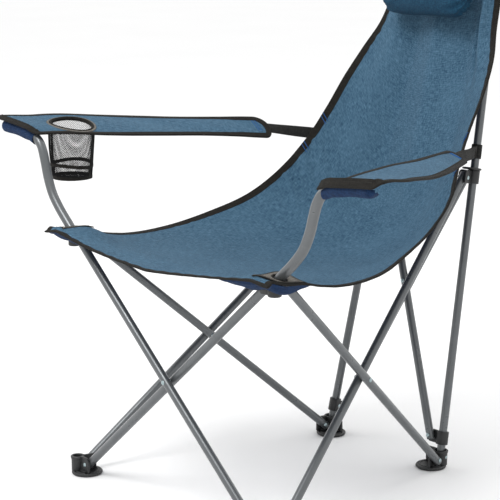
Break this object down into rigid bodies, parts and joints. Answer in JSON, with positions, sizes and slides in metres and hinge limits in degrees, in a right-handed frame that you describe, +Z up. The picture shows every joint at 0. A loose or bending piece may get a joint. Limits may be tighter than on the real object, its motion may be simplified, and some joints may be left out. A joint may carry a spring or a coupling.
{
  "type": "folding camp chair",
  "caption": "Folding camp chair with crossed steel tube legs, a padded blue fabric sling seat, fabric armrests, a headrest pillow and a mesh cup holder.",
  "frame": {"origin": "on the floor, under the middle of the opened chair's bounding box", "axes": "+Z up, -Y towards the front of the chair, +X towards the sitter's left"},
  "size_m": [1.0666, 0.8186, 0.9847],
  "materials": {
    "tubes": "satin powder coat",
    "mouldings": "fine matte texture",
    "rivets": "bright zinc",
    "seat_fabric": "melange woven polyester",
    "pillow_fabric": "woven polyester",
    "patch_fabric": "coarse woven polyester",
    "webbing": "ribbed webbing",
    "mesh_fabric": "open knitted mesh"
  },
  "bodies": {
    "foot_rear_left": {"foot_rear_left": "mouldings", "rivet_upright_left": "rivets", "rivet_side_rear_foot_left": "rivets"},
    "brace_short_left": {"brace_short_left": "tubes"},
    "hub_left": {"hub_left": "mouldings", "arm_tube_left": "tubes", "screw_arm_left": "rivets", "rivet_side_hub_left": "rivets", "rivet_front_hub_left": "rivets", "armrest_left": "seat_fabric", "corner_patch_left": "patch_fabric", "sling_front": "seat_fabric"},
    "seat_panel": {"sling_seat": "seat_fabric"},
    "brace_long_left": {"brace_long_left": "tubes", "rivet_side_cross_left": "rivets"},
    "foot_front_left": {"foot_front_left": "mouldings", "rivet_side_front_foot_left": "rivets", "rivet_front_foot_left": "rivets"},
    "slider_left": {"slider_left": "mouldings", "rivet_side_slider_left": "rivets", "rivet_rear_slider_left": "rivets", "arm_strap_left": "webbing"},
    "upright_left": {"upright_left": "tubes", "upright_cap_left": "mouldings", "sling_back": "seat_fabric", "pillow": "pillow_fabric"},
    "brace_front_left": {"brace_front_left": "tubes", "rivet_front_cross": "rivets"},
    "brace_front_right": {"brace_front_right": "tubes"},
    "foot_front_right": {"foot_front_right": "mouldings", "rivet_front_foot_right": "rivets", "rivet_side_front_foot_right": "rivets"},
    "hub_right": {"hub_right": "mouldings", "arm_tube_right": "tubes", "screw_arm_right": "rivets", "rivet_front_hub_right": "rivets", "rivet_side_hub_right": "rivets", "armrest_right": "seat_fabric", "cup_pocket": "mesh_fabric", "corner_patch_right": "patch_fabric"},
    "brace_long_right": {"brace_long_right": "tubes", "rivet_side_cross_right": "rivets"},
    "brace_short_right": {"brace_short_right": "tubes"},
    "foot_rear_right": {"foot_rear_right": "mouldings", "rivet_upright_right": "rivets", "rivet_side_rear_foot_right": "rivets"},
    "slider_right": {"slider_right": "mouldings", "rivet_side_slider_right": "rivets", "arm_strap_right": "webbing"},
    "upright_right": {"upright_right": "tubes", "upright_cap_right": "mouldings"},
    "brace_rear_left": {"brace_rear_left": "tubes", "rivet_rear_cross": "rivets"},
    "brace_rear_right": {"brace_rear_right": "tubes", "rivet_rear_slider_right": "rivets"},
    "sleeve_right": {"sleeve_right": "mouldings", "rivet_rear_sleeve_right": "rivets"},
    "sleeve_left": {"sleeve_left": "mouldings", "rivet_rear_sleeve_left": "rivets"}
  },
  "joints": [
    {"name": "fold", "type": "hinge", "parent": "foot_rear_left", "child": "brace_short_left", "pos_m": [0.16581, 0.17453, 0.022], "axis": [-0.9732, -0.23, 0], "range_deg": [0, 40.2], "deforming": ["sling_front", "sling_seat", "sling_back", "pillow", "armrest_left", "armrest_right", "arm_strap_left", "arm_strap_right", "corner_patch_left", "corner_patch_right"]},
    {"name": "hub_left_turn", "type": "hinge", "parent": "brace_short_left", "child": "hub_left", "pos_m": [0.28589, -0.33347, 0.466], "axis": [-0.9732, -0.23, 0], "range_deg": [-40.4, 0]},
    {"name": "side_scissor_left", "type": "hinge", "parent": "brace_short_left", "child": "brace_long_left", "pos_m": [0.21777, -0.08138, 0.244], "axis": [-0.9732, -0.23, 0], "range_deg": [-80.6, 0]},
    {"name": "foot_front_left_turn", "type": "hinge", "parent": "brace_long_left", "child": "foot_front_left", "pos_m": [0.26974, -0.33729, 0.022], "axis": [-0.9732, -0.23, 0], "range_deg": [0, 40.4]},
    {"name": "slider_left_turn", "type": "hinge", "parent": "brace_long_left", "child": "slider_left", "pos_m": [0.12307, 0.28317, 0.56429], "axis": [-0.9732, -0.23, 0], "range_deg": [0, 30.19]},
    {"name": "upright_left_lean", "type": "hinge", "parent": "foot_rear_left", "child": "upright_left", "pos_m": [0.15441, 0.19753, 0.022], "axis": [-0.9732, -0.23, 0], "range_deg": [-10.41, 0]},
    {"name": "front_brace_turn", "type": "hinge", "parent": "hub_left", "child": "brace_front_left", "pos_m": [0.261, -0.34833, 0.466], "axis": [0, -1, 0], "range_deg": [0, 40.4]},
    {"name": "front_scissor", "type": "hinge", "parent": "brace_front_left", "child": "brace_front_right", "pos_m": [0, -0.35663, 0.244], "axis": [0, -1, 0], "range_deg": [-80.6, 0]},
    {"name": "foot_front_right_turn", "type": "hinge", "parent": "brace_front_left", "child": "foot_front_right", "pos_m": [-0.261, -0.34833, 0.022], "axis": [0, -1, 0], "range_deg": [-40.4, 0]},
    {"name": "hub_right_turn", "type": "hinge", "parent": "brace_front_right", "child": "hub_right", "pos_m": [-0.261, -0.36493, 0.466], "axis": [0, -1, 0], "range_deg": [0, 40.4]},
    {"name": "side_brace_right_turn", "type": "hinge", "parent": "foot_front_right", "child": "brace_long_right", "pos_m": [-0.28589, -0.33347, 0.022], "axis": [0.9732, -0.23, 0], "range_deg": [0, 40.4]},
    {"name": "side_scissor_right", "type": "hinge", "parent": "brace_long_right", "child": "brace_short_right", "pos_m": [-0.21777, -0.08138, 0.244], "axis": [0.9732, -0.23, 0], "range_deg": [-80.6, 0]},
    {"name": "foot_rear_right_turn", "type": "hinge", "parent": "brace_short_right", "child": "foot_rear_right", "pos_m": [-0.14965, 0.17071, 0.022], "axis": [0.9732, -0.23, 0], "range_deg": [0, 40.4]},
    {"name": "slider_right_turn", "type": "hinge", "parent": "brace_long_right", "child": "slider_right", "pos_m": [-0.13922, 0.28699, 0.56429], "axis": [0.9732, -0.23, 0], "range_deg": [-30.19, 0]},
    {"name": "upright_right_lean", "type": "hinge", "parent": "foot_rear_right", "child": "upright_right", "pos_m": [-0.15441, 0.19753, 0.022], "axis": [0.9732, -0.23, 0], "range_deg": [0, 10.41]},
    {"name": "rear_brace_turn", "type": "hinge", "parent": "slider_left", "child": "brace_rear_left", "pos_m": [0.10533, 0.31567, 0.56312], "axis": [0, -0.9792, 0.2031], "range_deg": [0, 23.51]},
    {"name": "rear_scissor", "type": "hinge", "parent": "brace_rear_left", "child": "brace_rear_right", "pos_m": [0, 0.26051, 0.33802], "axis": [0, -0.9792, 0.2031], "range_deg": [-42.16, 0]},
    {"name": "sleeve_right_turn", "type": "hinge", "parent": "brace_rear_left", "child": "sleeve_right", "pos_m": [-0.13018, 0.21051, 0.05603], "axis": [0, -0.9792, 0.2031], "range_deg": [-18.85, 0]},
    {"name": "sleeve_left_turn", "type": "hinge", "parent": "brace_rear_right", "child": "sleeve_left", "pos_m": [0.13018, 0.19425, 0.0594], "axis": [0, -0.9792, 0.2031], "range_deg": [0, 18.85]},
    {"name": "seat_hang", "type": "hinge", "parent": "hub_left", "child": "seat_panel", "pos_m": [0, -0.2868, 0.476], "axis": [-1, 0, 0], "range_deg": [0, 122.01]}
  ],
  "couplings": [
    {"joint": "hub_left_turn", "follows": "fold", "ratio": -1},
    {"joint": "side_scissor_left", "follows": "fold", "ratio": -2},
    {"joint": "foot_front_left_turn", "follows": "fold", "ratio": 1},
    {"joint": "slider_left_turn", "follows": "fold", "ratio": 0.74597},
    {"joint": "upright_left_lean", "follows": "fold", "ratio": -0.25403},
    {"joint": "front_brace_turn", "follows": "fold", "ratio": 1},
    {"joint": "front_scissor", "follows": "fold", "ratio": -2},
    {"joint": "foot_front_right_turn", "follows": "fold", "ratio": -1},
    {"joint": "hub_right_turn", "follows": "fold", "ratio": 1},
    {"joint": "side_brace_right_turn", "follows": "fold", "ratio": 1},
    {"joint": "side_scissor_right", "follows": "fold", "ratio": -2},
    {"joint": "foot_rear_right_turn", "follows": "fold", "ratio": 1},
    {"joint": "slider_right_turn", "follows": "fold", "ratio": -0.74597},
    {"joint": "upright_right_lean", "follows": "fold", "ratio": 0.25403},
    {"joint": "rear_brace_turn", "follows": "fold", "ratio": 0.57988},
    {"joint": "rear_scissor", "follows": "fold", "ratio": -1.0438},
    {"joint": "sleeve_right_turn", "follows": "fold", "ratio": -0.46392},
    {"joint": "sleeve_left_turn", "follows": "fold", "ratio": 0.46392},
    {"joint": "seat_hang", "follows": "fold", "ratio": 3.03}
  ]
}
